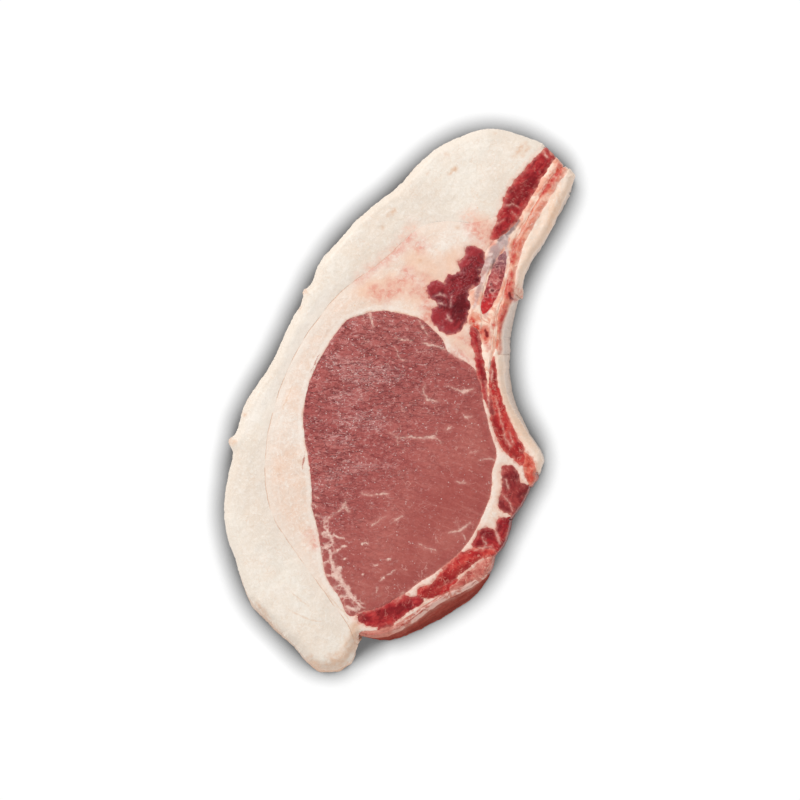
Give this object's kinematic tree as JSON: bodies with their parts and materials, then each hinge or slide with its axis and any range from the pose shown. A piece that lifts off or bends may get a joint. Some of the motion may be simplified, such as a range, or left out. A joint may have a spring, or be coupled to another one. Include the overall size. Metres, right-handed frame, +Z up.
{
  "type": "raw pork chop",
  "caption": "Raw bone-in pork loin chop, one slice with a broad edge of back fat, a rib and small muscles round the eye of meat, lying flat.",
  "frame": {"origin": "middle of the footprint, on the lower cut face that the chop rests on", "axes": "+Z up through the thickness of the slice, +Y along its length from the tail of fat to the top lobe, +X towards the rib"},
  "size_m": [0.1194, 0.1852, 0.0252],
  "materials": {
    "back_fat": "firm white back fat with a dull moist gloss",
    "inner_fat": "softer warm fat, moist, with pink stains",
    "membrane_fat": "cream fat under a thin moist membrane",
    "loin_meat": "wet sawn pink lean with fine marbling and a scatter of bright wet points",
    "dark_meat": "wet dark red lean with pale flecks",
    "strip_meat": "wet deep red lean",
    "red_meat": "wet bright red lean with fine pale strands",
    "orange_meat": "moist orange-red thin lean",
    "chine_meat": "wet brownish red lean with paler seams",
    "pale_meat": "moist pink lean streaked with fat",
    "side_meat": "moist brownish red outside of the meat, with fine grain",
    "pink_tissue": "moist pink-orange connective tissue",
    "bone": "sawn rib, pale grey-pink and moist",
    "marrow": "spongy red marrow with small pores"
  },
  "bodies": {
    "root": {"outer_fat": "back_fat", "inner_fat": "inner_fat", "corner_fat": "membrane_fat", "rib_side_fat": "membrane_fat", "loin_eye": "loin_meat", "lobed_muscle": "dark_meat", "rib_strip_muscle": "strip_meat", "rib_edge_muscle": "strip_meat", "intercostal_muscle": "red_meat", "corner_muscle": "orange_meat", "chine_muscle": "chine_meat", "lower_dark_muscle": "strip_meat", "lower_strip_upper": "red_meat", "lower_strip_bulb": "red_meat", "lower_strip_outer": "pale_meat", "bottom_strip": "strip_meat", "side_muscle": "side_meat", "pink_strip": "pink_tissue", "rib_bone": "bone", "rib_marrow": "marrow"}
  },
  "joints": []
}
